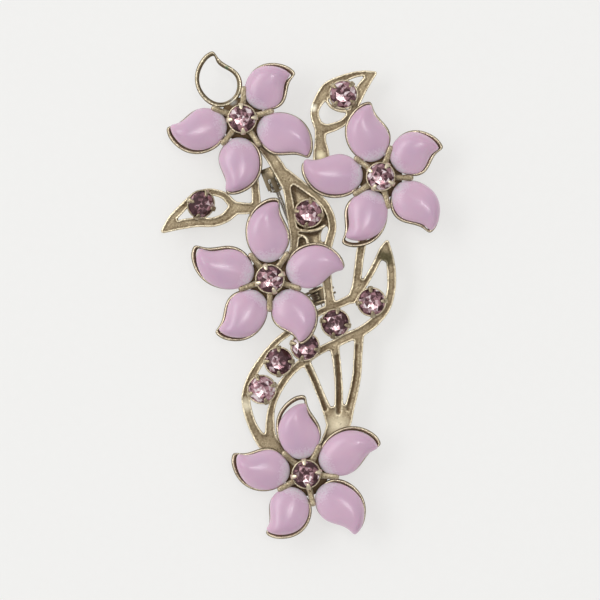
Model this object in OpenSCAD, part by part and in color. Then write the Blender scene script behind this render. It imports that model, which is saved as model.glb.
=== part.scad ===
// Flower spray brooch: a cast openwork spray with four flowers of moulded petals,
// twelve claw-set stones, and a pin back with a safety catch.
// The brooch lies on its back: +Z is the way its front faces, +Y runs up the spray,
// and the origin is under the middle of the spray, level with its lowest point.

/* [Spray] */
// Width of the whole spray
spray_w = 49; // [47:0.5:59]
// Height of the whole spray
spray_h = 86; // [84:0.5:104]
// Thickness of the cast frame
frame_t = 1.4; // [1.1:0.1:2]
// Width of a plain rail of the frame
rail_w = 1.4; // [1.1:0.1:1.7]

/* [Flowers] */
// Length of a petal rim, from its inner end to its tip
petal_l = 10.1; // [8:0.1:10.6]
// Width of a petal rim
petal_w = 7.4; // [6:0.1:7.6]
// Height of a petal above its seat in the rim
petal_h = 2.2; // [1.8:0.1:3]
// Width of the rim wire around a petal
rim_w = 0.85; // [0.7:0.05:1]
// Height of the rim wire
rim_h = 0.9; // [0.7:0.05:1.4]

/* [Stones] */
// Diameter of every round stone
stone_d = 4.7; // [3.9:0.05:4.8]
// Wall of a stone's setting
cup_wall = 0.35; // [0.25:0.05:0.45]

/* [Pin back] */
// Diameter of the pin wire
pin_d = 0.8; // [0.6:0.05:1]
// Height of the pin's axis behind the frame
pin_drop = 2.4; // [2.3:0.1:3]

/* [Hidden] */
$fn = 48;

// The spray was drawn on a board of this size, and is stretched from it to spray_w and spray_h.
board = [49, 86];
board_middle = [0.4, 0]; // middle of the spray on the board
spline_steps = 4;
outline_steps = 40;
cap_steps = 3;
cut = 0.1; // how far a cutting shape runs past the face it cuts

// Heights, from the lowest point of the catch up
catch_r = 2;
frame_z = catch_r + pin_drop;
frame_top = frame_z + frame_t;
seat_t = 0.6;
seat_z = frame_z + seat_t;

// Flowers: place of the centre, angle of the first petal, height above the frame, angle of the prongs
flowers = [
    [[-10.2, 31.1], 52, 0.8, 95],
    [[14.2, 20.9], 34.5, 0.8, 60],
    [[-5.3, 2.9], 18.7, 1.8, 110],
    [[1.1, -31.5], 29, 0.8, 100]
];
petals_per_flower = 5;
// How each petal was bent at the bench: its extra turn, and how much longer it lies than petal_l
petal_set = [
    [[-1, -1], [-1, -0.3], [0, 0], [-0.5, 0], [-1, 0.2]],
    [[1, -1.2], [0.5, 0], [0, 0.6], [-1.5, 0.1], [-1.5, -0.2]],
    [[-0.5, -0.1], [2, 0.9], [2, 1.2], [-1, 0.1], [-1.5, -0.6]],
    [[1.5, 0.8], [-1, 0.5], [0.5, 0], [1, -0.7], [2, 0.2]]
];
petal_turn = 360 / petals_per_flower;
lost_petal = [0, 1]; // flower and petal whose rim is empty
petal_start = 3.3;
petal_bow = 1;
petal_lean = 2.2;
lean_power = 5;
bluntness = 0.85; // below 1 makes both ends blunter
inner_fullness = 1.1;
tip_thinning = 0.32;
hollow_side_swell = 0.16;
hollow_depth = 0.5; // how far the clockwise side swells and then hollows before the tip
hollow_power = 1.3;
petal_pinch = 0.22; // how much narrower a petal is than its rim at its inner end
petal_root = 0.6; // how far a petal's inner end runs in over its rim
lip_w = 0.4;
ledge_h = rim_h / 2;
petal_fit = 0.03;
dome_fall = 1.6;
hub_lap = 0.6; // how far the hub runs out under the inner ends of the rims
hub_r = petal_start + hub_lap;
hub_t = 0.4;
boss_r = 2.3;

// Star claw of a flower
claw_r = 2.6;
claw_t = 0.9;
claw_cup_h = 1.7;
arm_reach = 5.3;
arm_root_w = 1.3;
arm_tip_w = 1.05;
arm_t = 0.6;
arm_z = rim_h - hub_t;

// Rivets that hold the flowers
rivet_r = 0.6;
rivet_fit = 0.02;
rivet_head_r = 1;
rivet_head_t = 0.25;
claw_floor = 0.4;

// Stones: place, angle of the prongs, then the tilt of the setting and the way it leans
leaf_a = [[7.65, 35.5], 50, 0, 0];
leaf_b = [[-18, 16.4], 70, 24, 150];
leaf_c = [[1.5, 14.5], 80, 0, 0];
s_leaf = [
    [[-6.75, -16.6], 20, 0, 0],
    [[-3.75, -11.65], 0, 0, 0],
    [[0.9, -9.0], 75, 0, 0],
    [[6.25, -4.9], 80, 0, 0],
    [[12.65, -1.15], 5, 0, 0]
];
stone_r = stone_d / 2;
pavilion_h = 1;
girdle_h = 0.25;
crown_h = 0.7;
table_share = 0.58; // the flat top's share of a stone's radius
table_r = stone_r * table_share;
cup_h = 1.4;
cup_floor = 0.3;
cup_flare = 0.2; // how far a cup's lip stands out past its stone
cup_tuck = 0.47; // how far a cup's foot stands in from its stone's edge
cup_top_r = stone_r + cup_flare;
cup_base_r = stone_r - cup_tuck;
cup_fit = 0.05;
prongs = 4;
prong_w = 0.7;
prong_t = 0.45;
prong_fit = 0.03;
prong_reach = 0.3;
prong_pad_t = 0.25;
prong_z = frame_t - seat_t + cup_fit;
tilt_pad_r = 1.3;
tilt_pad_t = 1.2;

// Rails and stems: points along the middle of each, with its width in rail widths
rails = [
    [[13.3, 39.3, .5], [11.2, 39.3, .7], [9.3, 38.95, .8], [7.4, 38.2, 1.1], [5.2, 36.6, 1.9],
        [3.5, 34.7, 1.4], [2.6, 32.6, 1.1], [2.9, 30.8, 1.15], [3.7, 29.3, 1.4]],
    [[13.3, 39.3, .5], [11.9, 38, 1.2], [10.7, 36.2, 1.4], [9.9, 34.2, 1.2], [9.1, 32.4, .9],
        [7.8, 30.7, .95], [6, 29.8, 1.1], [4, 29.3, 1.3]],
    [[4.4, 35.3, .5], [4.9, 34.2, .4], [5.6, 33.3, .4], [6.95, 32.7, .4], [8.2, 32.6, .45],
        [9, 32.5, .5]],
    [[3.7, 29.6, 1.6], [3.6, 27.4, 1.45], [3.75, 24.9, 2.1], [3.6, 22.6, 1.8], [2.9, 20.2, 1.3],
        [2.3, 18.2, 1.1]],
    [[-24.2, 11.4, .6], [-22.6, 13.6, 1], [-20.6, 15.7, 1], [-18.6, 17.6, .9], [-16.4, 18.3, .9],
        [-14.6, 18.1, .9], [-13.2, 17.5, 1], [-12.2, 16.4, 1.1], [-11.4, 15.6, 1.3]],
    [[-24.2, 11.4, .6], [-21.4, 12.45, 1.2], [-18.4, 12.95, 1.25], [-15.5, 12.95, 1.2],
        [-13.3, 13.7, 1.3], [-12.2, 14.7, 1.5], [-11.4, 15.4, 1.5]],
    [[-11.6, 15.5, 1.6], [-9.9, 15.4, 1.5], [-7.9, 15.4, 1.3]],
    [[-10.2, 31.1, 2], [-9.4, 27, 1.6], [-8.3, 22.5, 1.1], [-7.9, 19, 1.05], [-7.7, 16, 1.15],
        [-7.9, 12.5, 1.2], [-7, 7.5, 1.4], [-5.3, 2.9, 2]],
    [[-10.2, 31.1, 2], [-7.6, 27.6, 1.5], [-5.3, 24.8, 1.5], [-3.6, 22.2, 1.7], [-2.4, 19.8, 1.6]],
    [[-3, 21, 1.4], [-2.3, 18.6, 1], [-1.8, 15.8, 1.1], [-1.35, 12.6, 1.1], [-1, 10.2, 1.1],
        [-1.3, 7.6, 1], [-3, 5, 1.2], [-5.3, 2.9, 1.6]],
    [[-0.9, 12, .4], [-0.1, 11.55, .4], [0.9, 11.45, .4], [2, 11.45, .4], [3.2, 11.7, .4],
        [4.3, 12.3, .4]],
    [[-0.9, 10.1, .4], [-0.1, 10.5, .4], [0.6, 10.45, .35], [1.2, 9.9, .35], [1.4, 9, .35]],
    [[-2.6, 21.6, 1.3], [-0.6, 20.2, 1.1], [1.6, 18.6, 1], [3.9, 16.7, 1], [5.3, 14.4, 1],
        [5.75, 12, 1], [5.2, 9.6, 1.05], [4.6, 7, 1.1], [4.7, 3.6, 1.25], [5, 0.6, 1.25],
        [5.4, -2, 1.4]],
    [[14.2, 20.9, 2], [12.9, 16.5, 1.5], [11.6, 12, 1.2], [10.75, 8, 1.1], [10.3, 4.6, 1.1],
        [9.9, 1.6, 1.1], [9.3, -0.6, 1.3]],
    [[1.1, -31.5, 2], [-2.6, -29, 1.8], [-5.9, -26.6, 1.8], [-8.1, -23.6, 1.2], [-9.35, -20, 1.15],
        [-9.5, -17.2, 1.1], [-8.4, -14.1, 1.05], [-6.4, -10.9, .95], [-4, -8.1, .85], [-1.6, -6.2, .9],
        [1.2, -4.3, .9], [3.6, -2.9, .9], [6.2, -1.8, 1], [8.8, -0.6, 1.1], [10.6, 1.1, 1],
        [12.2, 3.4, .85], [13.6, 6, .85], [14.6, 8.2, .8], [15.4, 9.5, .5]],
    [[1.1, -31.5, 2], [-2.4, -28.6, 1.8], [-4.9, -25.6, 1.5], [-5.3, -22.6, 1.15], [-4.9, -19.4, .9],
        [-3.5, -16.2, .95], [-1.4, -13.4, .95], [0.9, -11.5, 1.1], [3.6, -9.7, 1], [6.2, -8.5, 1.1],
        [8.6, -7.3, 1.25], [10.9, -6.3, 1.3], [13.2, -4.6, 1.3], [15.2, -2.2, 1.15],
        [16.1, 0.8, 1.1], [16.2, 3.8, 1.15], [15.9, 6.6, 1], [15.4, 9.5, .5]],
    [[15.1, 6.8, 1.2], [15.4, 9.2, .7]],
    [[0.9, -11.4, 1.1], [2.1, -13.8, 1], [3.2, -16.4, 1], [4.2, -18.8, 1.05], [5, -20.8, 1.3],
        [5.6, -22.2, 1.6]],
    [[6.1, -8.9, 1.2], [6.5, -12, 1.05], [6.85, -16, 1.05], [6.85, -19, 1.1], [6.8, -21, 1.2],
        [6.8, -22.2, 1.8]],
    [[10.5, -6.9, 1.2], [10.25, -10.5, 1.15], [10.05, -14, 1.15], [9.4, -17.4, 1.2],
        [8.75, -19.8, 1.3], [8, -22, 1.8]],
    [[7, -21.5, 3.3], [6.7, -22.9, 3], [5.6, -25, 2.2], [3.8, -28, 1.8], [1.1, -31.5, 2]]
];
// Crossbars that carry the seats of the stones, from rail to rail
crossbars = [
    [[5.2, 36.2, .7], [7.65, 35.5, .7], [10.6, 35, .7]],
    [[-18.4, 17.6, .7], [-18, 16.4, .7], [-17.6, 12.9, .7]],
    [[-9.6, -17, .7], [-6.75, -16.6, .7], [-3.6, -16.3, .7]],
    [[-5.9, -10.2, .7], [-3.75, -11.65, .7], [-1.7, -13.6, .7]],
    [[-0.9, -5.8, .7], [0.9, -9, .7], [2.2, -10.6, .7]],
    [[4.9, -2.4, .7], [6.25, -4.9, .7], [7.5, -7.8, .7]],
    [[10.2, 0.7, .7], [12.65, -1.15, .7], [15.4, -1.8, .7]]
];
// Floor of the middle leaf, with an opening beside its foot
leaf_floor = [[-2.2, 20], [-1.2, 8], [4.6, 8], [5, 11.4], [5.3, 13.2], [4.8, 15.6], [1.8, 18.2]];
leaf_floor_t = 1.1;
floor_opening = [[3.75, 9.5], [4.6, 9.5], [5.2, 11.3], [4.7, 12.5], [4.1, 11.8], [3.7, 10.9]];

// Pin back: places of the hinge and the catch
hinge_at = [-4.45, 19.7];
catch_at = [3.2, -0.1];
pin_r = pin_d / 2;
hinge_rivet_r = 0.45;
hinge_run = 0.05;
hinge_hole_fit = 0.02;
eye_wall = 0.6;
eye_r = hinge_rivet_r + hinge_run + eye_wall;
eye_w = 1.64;
eye_gap = 0.08;
ear_t = 0.35;
ear_in = eye_w / 2 + eye_gap;
ear_out = ear_in + ear_t;
slot_w = 0.45;
plate_t = 0.4;
joint_plate_w = 3.2;
joint_plate_back = 3.2;
joint_plate_front = 1.5;
hinge_head_r = 0.75;
hinge_head_t = 0.3;
neck_l = 0.5;
neck_end = eye_r + neck_l;
taper_start = 2.8; // how far before the catch's middle the wire starts to taper
tip_reach = 2.2;
tip_r = 0.08;
pin_run = 0.1;
rotor_bore_r = pin_r + pin_run;
sleeve_wall = 0.7;
sleeve_r = rotor_bore_r + sleeve_wall;
rotor_run = 0.05;
cheek_t = 0.5;
cheek_in = 0.8;
cheek_out = cheek_in + cheek_t;
cheek_half_w = 1.7;
mouth_w = 2 * (rotor_bore_r + rotor_run);
sleeve_over = 0.25;
sleeve_out = cheek_out + sleeve_over;
tab_in = 0.275;
tab_t = 0.4;
flange_w = 0.45;
flange_r = sleeve_r + flange_w;
tab_reach = 3.2;
tab_w = 0.9;
catch_plate_from = 0.2;
catch_plate_to = 2.7;

function at(p) = let(q = p - board_middle) [q.x * spray_w / board.x, q.y * spray_h / board.y];
hinge_p = at(hinge_at);
catch_p = at(catch_at);
pin_reach = norm(catch_p - hinge_p);
pin_angle = atan2(catch_p.y - hinge_p.y, catch_p.x - hinge_p.x);

function flower_node(f, part) = str("flower_", f + 1, "_", part);
function has_petal(f, k) = !(f == lost_petal[0] && k == lost_petal[1]);

// A point on the curve from b to c, whose neighbours are a and d
function curve_point(a, b, c, d, t) =
    (2 * b + (c - a) * t + (2 * a - 5 * b + 4 * c - d) * t ^ 2 + (3 * b - a - 3 * c + d) * t ^ 3) / 2;
function spline(p, n) = [
    for (i = [0:len(p) - 2])
        for (j = [0:n - 1])
            curve_point(p[max(i - 1, 0)], p[i], p[i + 1], p[min(i + 2, len(p) - 1)], j / n),
    p[len(p) - 1]
];
// The direction that a route runs in at point i
function heading(r, i) =
    let(a = r[max(i - 1, 0)], b = r[min(i + 1, len(r) - 1)]) atan2(b.y - a.y, b.x - a.x);
function off(p, angle, d) = [p.x + d * cos(angle), p.y + d * sin(angle)];
function edge(r, side) = [for (i = [0:len(r) - 1]) off(r[i], heading(r, i) + side, r[i].z)];
function cap(p, from) = [for (k = [1:cap_steps]) off(p, from - k * 180 / (cap_steps + 1), p.z)];

// A rail of varying width with round ends, flat on the board
module rail(points) {
    r = spline([for (p = points) [each at(p), p.z * rail_w / 2]], spline_steps);
    last = len(r) - 1;
    left = edge(r, 90);
    right = edge(r, -90);
    polygon(concat(
        left,
        cap(r[last], heading(r, last) + 90),
        [for (i = [last:-1:0]) right[i]],
        cap(r[0], heading(r, 0) - 90)
    ));
}

function petal_length(f, k) = petal_l + petal_set[f][k][1];

// Outline of a petal rim, set in by some distance: blunt inside, its tip leaning clockwise past
// a hollow. A pinch makes its inner end narrower, and a root draws it in towards the hub.
module petal_outline(length, inset, pinch = 0, root = 0) {
    polygon([for (i = [0:outline_steps - 1])
        let(
            t = i * 360 / outline_steps,
            s = (1 - cos(t)) / 2,
            hollow_side = sin(t) < 0 ? 1 : 0,
            fullness = inner_fullness + (hollow_side * hollow_side_swell - tip_thinning) * s,
            half_w = (petal_w / 2 - inset) * abs(sin(t)) ^ bluntness * fullness * (1 - pinch * (1 - s) ^ 4)
        )
        [
            petal_start + inset + (length - 2 * inset) * s - root * (1 - s) ^ 3,
            petal_bow * s - petal_lean * s ^ lean_power
                + sign(sin(t)) * half_w
                - hollow_side * hollow_depth * sin(360 * s ^ hollow_power)
        ]
    ]);
}

// Puts its children at a flower, at some height above the flower's back
module on_flower(f, z = 0) {
    translate([each at(flowers[f][0]), frame_top + flowers[f][2] + z]) children();
}

module at_petal(f, k) {
    rotate(flowers[f][1] + k * petal_turn + petal_set[f][k][0]) children();
}

// An arm lies halfway between its petal and the next one round
module at_arm(f, k) {
    next = (k + 1) % petals_per_flower;
    nudge = (petal_set[f][k][0] + petal_set[f][next][0]) / 2;
    rotate(flowers[f][1] + (k + 0.5) * petal_turn + nudge) children();
}

// Puts its children at a stone's seat, leaning if that setting leans
module on_seat(s, z = 0) {
    lean = [-sin(s[3]), cos(s[3]), 0];
    lift = cup_base_r * sin(s[2]);
    translate([each at(s[0]), seat_z + lift])
        rotate(a = -s[2], v = lean)
            translate([0, 0, z]) children();
}

module prong_ring(top, angle) {
    pad_z = top + girdle_h + prong_reach / (stone_r - table_r) * crown_h + cup_fit;
    for (k = [0:prongs - 1]) rotate(angle + k * 360 / prongs) {
        translate([stone_r + prong_fit, -prong_w / 2, prong_z])
            cube([prong_t, prong_w, pad_z + prong_pad_t - prong_z]);
        translate([stone_r - prong_reach, -prong_w / 2, pad_z])
            cube([prong_reach + prong_fit + prong_t, prong_w, prong_pad_t]);
    }
}

module cup_well(h, floor_t) {
    floor_r = cup_base_r - cup_wall + (cup_top_r - cup_base_r) * floor_t / h;
    translate([0, 0, floor_t])
        cylinder(h = h - floor_t, r1 = floor_r, r2 = cup_top_r - cup_wall);
}

module cup(h, floor_t, angle) {
    difference() {
        cylinder(h = h, r1 = cup_base_r, r2 = cup_top_r);
        cup_well(h, floor_t);
    }
    prong_ring(h, angle);
}

module stone() {
    seat_r = cup_top_r - cup_wall - cup_fit;
    rotate_extrude() polygon([
        [0, -pavilion_h],
        [seat_r, 0],
        [stone_r, 0],
        [stone_r, girdle_h],
        [table_r, girdle_h + crown_h],
        [0, girdle_h + crown_h]
    ]);
}

module stem_frame() color("DarkKhaki") {
    difference() {
        union() {
            translate([0, 0, frame_z]) linear_extrude(frame_t) for (r = rails) rail(r);
            translate([0, 0, frame_z]) linear_extrude(seat_t) {
                for (b = crossbars) rail(b);
                for (s = concat([leaf_a], s_leaf)) translate(at(s[0])) circle(cup_base_r);
            }
            translate([0, 0, frame_z]) linear_extrude(leaf_floor_t) difference() {
                polygon([for (p = leaf_floor) at(p)]);
                polygon([for (p = floor_opening) at(p)]);
            }
            for (f = [0:len(flowers) - 1]) translate([each at(flowers[f][0]), frame_z])
                cylinder(h = frame_t + flowers[f][2], r = boss_r);
            on_seat(leaf_b, -tilt_pad_t) cylinder(h = tilt_pad_t, r = tilt_pad_r);
        }
        for (f = [0:len(flowers) - 1]) translate([each at(flowers[f][0]), frame_z - cut])
            cylinder(h = frame_t + flowers[f][2] + 2 * cut, r = rivet_r + rivet_fit);
        for (s = concat([leaf_a, leaf_b, leaf_c], s_leaf)) on_seat(s)
            cylinder(h = cup_h, r1 = cup_base_r + cup_fit, r2 = cup_top_r + cup_fit);
    }
}

module flower_rims(f) color("DarkKhaki") on_flower(f) difference() {
    union() {
        cylinder(h = hub_t, r = hub_r);
        for (k = [0:petals_per_flower - 1]) at_petal(f, k) difference() {
            length = petal_length(f, k);
            linear_extrude(rim_h) petal_outline(length, 0);
            translate([0, 0, -cut]) linear_extrude(rim_h + 2 * cut) petal_outline(length, rim_w);
            translate([0, 0, ledge_h]) linear_extrude(rim_h)
                petal_outline(length, lip_w, 0, petal_root);
        }
    }
    translate([0, 0, -cut]) cylinder(h = hub_t + 2 * cut, r = rivet_r + rivet_fit);
}

module flower_claw(f) color("DarkKhaki") on_flower(f, hub_t) difference() {
    union() {
        cylinder(h = claw_t, r = claw_r);
        for (k = [0:petals_per_flower - 1])
            at_arm(f, k) translate([0, 0, arm_z]) linear_extrude(arm_t) {
                polygon([
                    [0, -arm_root_w / 2],
                    [arm_reach, -arm_tip_w / 2],
                    [arm_reach, arm_tip_w / 2],
                    [0, arm_root_w / 2]
                ]);
                translate([arm_reach, 0]) circle(arm_tip_w / 2);
            }
        cylinder(h = claw_cup_h, r1 = cup_base_r, r2 = cup_top_r);
        prong_ring(claw_cup_h, flowers[f][3]);
    }
    cup_well(claw_cup_h, claw_floor);
    translate([0, 0, -cut]) cylinder(h = claw_t, r = rivet_r + rivet_fit);
}

module flower_stone(f) color("RosyBrown") on_flower(f, hub_t + claw_cup_h) stone();

module flower_rivet(f) color("Peru") {
    shank = frame_t + flowers[f][2] + hub_t + claw_floor;
    translate([each at(flowers[f][0]), frame_z]) {
        cylinder(h = shank, r = rivet_r);
        translate([0, 0, -rivet_head_t]) cylinder(h = rivet_head_t, r = rivet_head_r);
        translate([0, 0, shank]) cylinder(h = rivet_head_t, r = rivet_head_r);
    }
}

module petal(f, k) color("Thistle") on_flower(f, ledge_h) at_petal(f, k) {
    length = petal_length(f, k);
    inset = lip_w + petal_fit;
    half_l = (length + petal_root) / 2 - inset;
    dome_r = (half_l ^ 2 + dome_fall ^ 2) / (2 * dome_fall);
    intersection() {
        linear_extrude(petal_h) petal_outline(length, inset, petal_pinch, petal_root);
        translate([petal_start + (length - petal_root) / 2, petal_bow / 2, petal_h - dome_r])
            sphere(dome_r);
    }
}

module stone_cup(s) color("DarkKhaki") on_seat(s) cup(cup_h, cup_floor, s[1]);
module leaf_stone(s) color("RosyBrown") on_seat(s, cup_h) stone();

// Puts its children on the pin's line: X runs from the hinge to the catch, Y across, Z up
module on_pin_line(x = 0) {
    translate([each hinge_p, catch_r]) rotate(pin_angle) translate([x, 0, 0]) children();
}

// A cylinder that lies across the pin, with its middle on the pin's line
module across(r, w) {
    rotate([90, 0, 0]) cylinder(h = w, r = r, center = true);
}

// A cylinder along the pin, from one place to another
module along(from, to, r1, r2) {
    translate([from, 0, 0]) rotate([0, 90, 0]) cylinder(h = to - from, r1 = r1, r2 = r2);
}

module joint_base() color("Goldenrod") on_pin_line() {
    translate([0, 0, pin_drop - plate_t]) linear_extrude(plate_t) difference() {
        union() {
            translate([-joint_plate_back, -joint_plate_w / 2])
                square([joint_plate_back, joint_plate_w]);
            translate([joint_plate_front - joint_plate_w / 2, 0]) circle(joint_plate_w / 2);
        }
        for (side = [-1, 1]) translate([-eye_r, side * (ear_in - slot_w / 2) - slot_w / 2])
            square([2 * eye_r, slot_w]);
    }
    for (side = [-1, 1]) translate([0, side * (ear_in + ear_t / 2), 0]) difference() {
        union() {
            across(eye_r, ear_t);
            translate([-eye_r, -ear_t / 2, 0]) cube([2 * eye_r, ear_t, pin_drop - plate_t]);
        }
        across(hinge_rivet_r + hinge_hole_fit, ear_t + 2 * cut);
    }
}

module joint_rivet() color("Gold") on_pin_line() {
    across(hinge_rivet_r, 2 * ear_out);
    for (side = [-1, 1])
        translate([0, side * (ear_out + hinge_head_t / 2), 0]) across(hinge_head_r, hinge_head_t);
}

module pin_stem() color("Silver") on_pin_line() {
    taper_from = pin_reach - taper_start;
    difference() {
        union() {
            across(eye_r, eye_w);
            translate([0, -pin_r, -pin_r]) cube([neck_end, pin_d, pin_d]);
        }
        across(hinge_rivet_r + hinge_run, eye_w + 2 * cut);
    }
    along(neck_end, taper_from, pin_r, pin_r);
    along(taper_from, pin_reach + tip_reach, pin_r, tip_r);
}

module catch_housing() color("Goldenrod") on_pin_line(pin_reach) {
    for (side = [0, 1]) mirror([side, 0, 0]) difference() {
        union() {
            along(cheek_in, cheek_out, catch_r, catch_r);
            translate([cheek_in, -cheek_half_w, 0]) cube([cheek_t, 2 * cheek_half_w, pin_drop]);
        }
        along(cheek_in - cut, cheek_out + cut, sleeve_r + rotor_run, sleeve_r + rotor_run);
        translate([cheek_in - cut, -mouth_w / 2, -catch_r - cut])
            cube([cheek_t + 2 * cut, mouth_w, catch_r]);
    }
    translate([-cheek_out, catch_plate_from, pin_drop - plate_t])
        cube([2 * cheek_out, catch_plate_to - catch_plate_from, plate_t]);
}

module catch_rotor() color("Gold") on_pin_line(pin_reach) difference() {
    union() {
        along(-sleeve_out, sleeve_out, sleeve_r, sleeve_r);
        for (side = [0, 1]) mirror([side, 0, 0]) {
            along(tab_in, tab_in + tab_t, flange_r, flange_r);
            translate([tab_in, 0, -tab_w / 2]) cube([tab_t, tab_reach - tab_w / 2, tab_w]);
            translate([0, tab_reach - tab_w / 2, 0]) along(tab_in, tab_in + tab_t, tab_w / 2, tab_w / 2);
        }
    }
    along(-sleeve_out - cut, sleeve_out + cut, rotor_bore_r, rotor_bore_r);
    translate([-sleeve_out - cut, -rotor_bore_r, -flange_r - cut])
        cube([2 * (sleeve_out + cut), 2 * rotor_bore_r, flange_r + cut]);
}

stem_frame();
for (f = [0:len(flowers) - 1]) {
    flower_rims(f);
    flower_claw(f);
    flower_stone(f);
    flower_rivet(f);
    for (k = [0:petals_per_flower - 1]) if (has_petal(f, k))
        petal(f, k);
}
stone_cup(leaf_a);  // leaf_a_cup
stone_cup(leaf_b);  // leaf_b_cup
stone_cup(leaf_c);  // leaf_c_cup
leaf_stone(leaf_a);  // leaf_a_stone
leaf_stone(leaf_b);  // leaf_b_stone
leaf_stone(leaf_c);  // leaf_c_stone
for (i = [0:len(s_leaf) - 1]) {
    stone_cup(s_leaf[i]);
    leaf_stone(s_leaf[i]);
}
joint_base();
joint_rivet();
pin_stem();
catch_housing();
catch_rotor();
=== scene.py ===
import math
import random

import bmesh
import bpy
import numpy as np
from mathutils import Matrix, Vector


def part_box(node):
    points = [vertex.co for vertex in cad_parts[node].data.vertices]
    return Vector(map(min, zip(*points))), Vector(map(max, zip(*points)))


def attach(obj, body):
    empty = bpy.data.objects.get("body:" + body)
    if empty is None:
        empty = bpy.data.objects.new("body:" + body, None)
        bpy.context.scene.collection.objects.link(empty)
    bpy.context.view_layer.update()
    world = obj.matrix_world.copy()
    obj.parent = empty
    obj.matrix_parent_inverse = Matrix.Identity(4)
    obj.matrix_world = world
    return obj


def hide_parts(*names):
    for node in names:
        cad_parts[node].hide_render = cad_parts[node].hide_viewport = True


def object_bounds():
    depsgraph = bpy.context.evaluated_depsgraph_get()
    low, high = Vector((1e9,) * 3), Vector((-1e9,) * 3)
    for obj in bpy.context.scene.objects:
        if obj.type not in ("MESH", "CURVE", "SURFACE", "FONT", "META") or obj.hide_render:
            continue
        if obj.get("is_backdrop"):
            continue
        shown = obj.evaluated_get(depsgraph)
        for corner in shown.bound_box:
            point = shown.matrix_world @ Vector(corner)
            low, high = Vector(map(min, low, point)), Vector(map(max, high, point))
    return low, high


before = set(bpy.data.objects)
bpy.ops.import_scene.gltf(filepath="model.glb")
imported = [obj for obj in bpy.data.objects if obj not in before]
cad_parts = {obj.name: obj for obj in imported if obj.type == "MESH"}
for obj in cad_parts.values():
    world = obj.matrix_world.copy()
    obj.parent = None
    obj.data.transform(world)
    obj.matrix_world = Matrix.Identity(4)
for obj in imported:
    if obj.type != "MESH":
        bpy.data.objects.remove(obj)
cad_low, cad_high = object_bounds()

MM = 0.001  # the lists below are in millimetres, and the meshes in metres


# ---------------------------------------------------------------- Cast frame
# The openwork spray of leaves, stems and fan, one casting in white metal. It was gilt, then
# toned brown, and rubbed back, so its proud edges are bright and its hollows are dark. The
# flowers are riveted to its bosses, and its small settings are soldered into its rails.

def srgb(hex_colour):
    """A colour of the shaders from its sRGB hex value."""
    parts = [int(hex_colour[i:i + 2], 16) / 255 for i in (1, 3, 5)]
    return [p / 12.92 if p <= 0.04045 else ((p + 0.055) / 1.055) ** 2.4 for p in parts] + [1]


def add(tree, kind, inputs=None, **settings):
    """Adds a node, with its settings, and its inputs' values or links."""
    node = tree.nodes.new(kind)
    for name, value in settings.items():
        setattr(node, name, value)
    for key, value in (inputs or {}).items():
        if isinstance(value, bpy.types.NodeSocket):
            tree.links.new(value, node.inputs[key])
        else:
            node.inputs[key].default_value = value
    return node


def per_mm(size):
    """The scale of a pattern whose grains are this many millimetres apart."""
    return 1 / (size * MM)


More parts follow.
